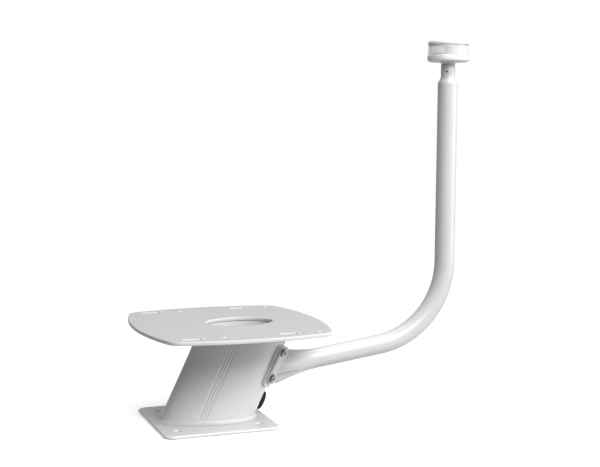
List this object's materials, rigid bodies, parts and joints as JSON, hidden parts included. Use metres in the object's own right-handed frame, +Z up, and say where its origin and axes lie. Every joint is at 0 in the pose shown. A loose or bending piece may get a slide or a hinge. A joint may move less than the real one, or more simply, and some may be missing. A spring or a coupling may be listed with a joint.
{
  "type": "radar mounting tower with light arm",
  "caption": "Raked hollow column between a bolt-down base plate and a rounded top plate with an oval opening, with a bolted, bent tube arm that carries a small all-round light.",
  "frame": {"origin": "middle of the base plate's underside", "axes": "+Z up from the deck, +X aft, the way the column leans and the arm reaches, +Y to the far side"},
  "size_m": [0.5484, 0.298, 0.587],
  "materials": {
    "white_coat": "gloss white powder coat on aluminium",
    "plate_coat": "white powder coat, seen as pale grey on the upper face",
    "weld": "white powder coat over a smoothed weld",
    "grey_nylon": "pale grey moulded nylon",
    "stainless": "stainless steel, softly polished",
    "aluminium": "plain machined aluminium",
    "black_rubber": "black moulded rubber",
    "clear_lens": "clear moulded polycarbonate, polished",
    "white_plastic": "white moulded plastic",
    "cap_plastic": "white moulded plastic, polished",
    "circuit_board": "white solder mask on an aluminium board",
    "light_source": "yellow phosphor under clear resin",
    "reflector": "bright white moulded plastic"
  },
  "bodies": {
    "tower": {"base_plate": "white_coat", "column": "white_coat", "arm_foot": "white_coat", "arm_tube": "white_coat", "top_plate": "plate_coat", "foot_weld": "weld", "head_weld": "weld", "saddle_pad": "grey_nylon", "arm_bolt_lower_near": "stainless", "arm_bolt_lower_far": "stainless", "arm_bolt_upper_near": "stainless", "arm_bolt_upper_far": "stainless", "arm_washer_lower_near": "stainless", "arm_washer_lower_far": "stainless", "arm_washer_upper_near": "stainless", "arm_washer_upper_far": "stainless", "lamp_grub_screw": "stainless", "wall_insert_lower_near": "aluminium", "wall_insert_lower_far": "aluminium", "wall_insert_upper_near": "aluminium", "wall_insert_upper_far": "aluminium", "lamp_stem": "aluminium", "lamp_heat_sink": "aluminium", "cover_gasket": "black_rubber", "lamp_cap_seal": "black_rubber", "lamp_lens": "clear_lens", "lamp_collar": "white_plastic", "lamp_base": "white_plastic", "lamp_cap": "cap_plastic", "lamp_board": "circuit_board", "lamp_led_1": "light_source", "lamp_led_2": "light_source", "lamp_led_3": "light_source", "lamp_led_4": "light_source", "lamp_led_5": "light_source", "lamp_led_6": "light_source", "lamp_led_7": "light_source", "lamp_led_8": "light_source", "lamp_spool": "reflector"},
    "cover": {"cable_cover": "black_rubber"}
  },
  "joints": [
    {"name": "cover_pull", "type": "slide", "parent": "tower", "child": "cover", "axis": [0.9063, 0, -0.4226], "range_m": [0, 0.012]}
  ]
}
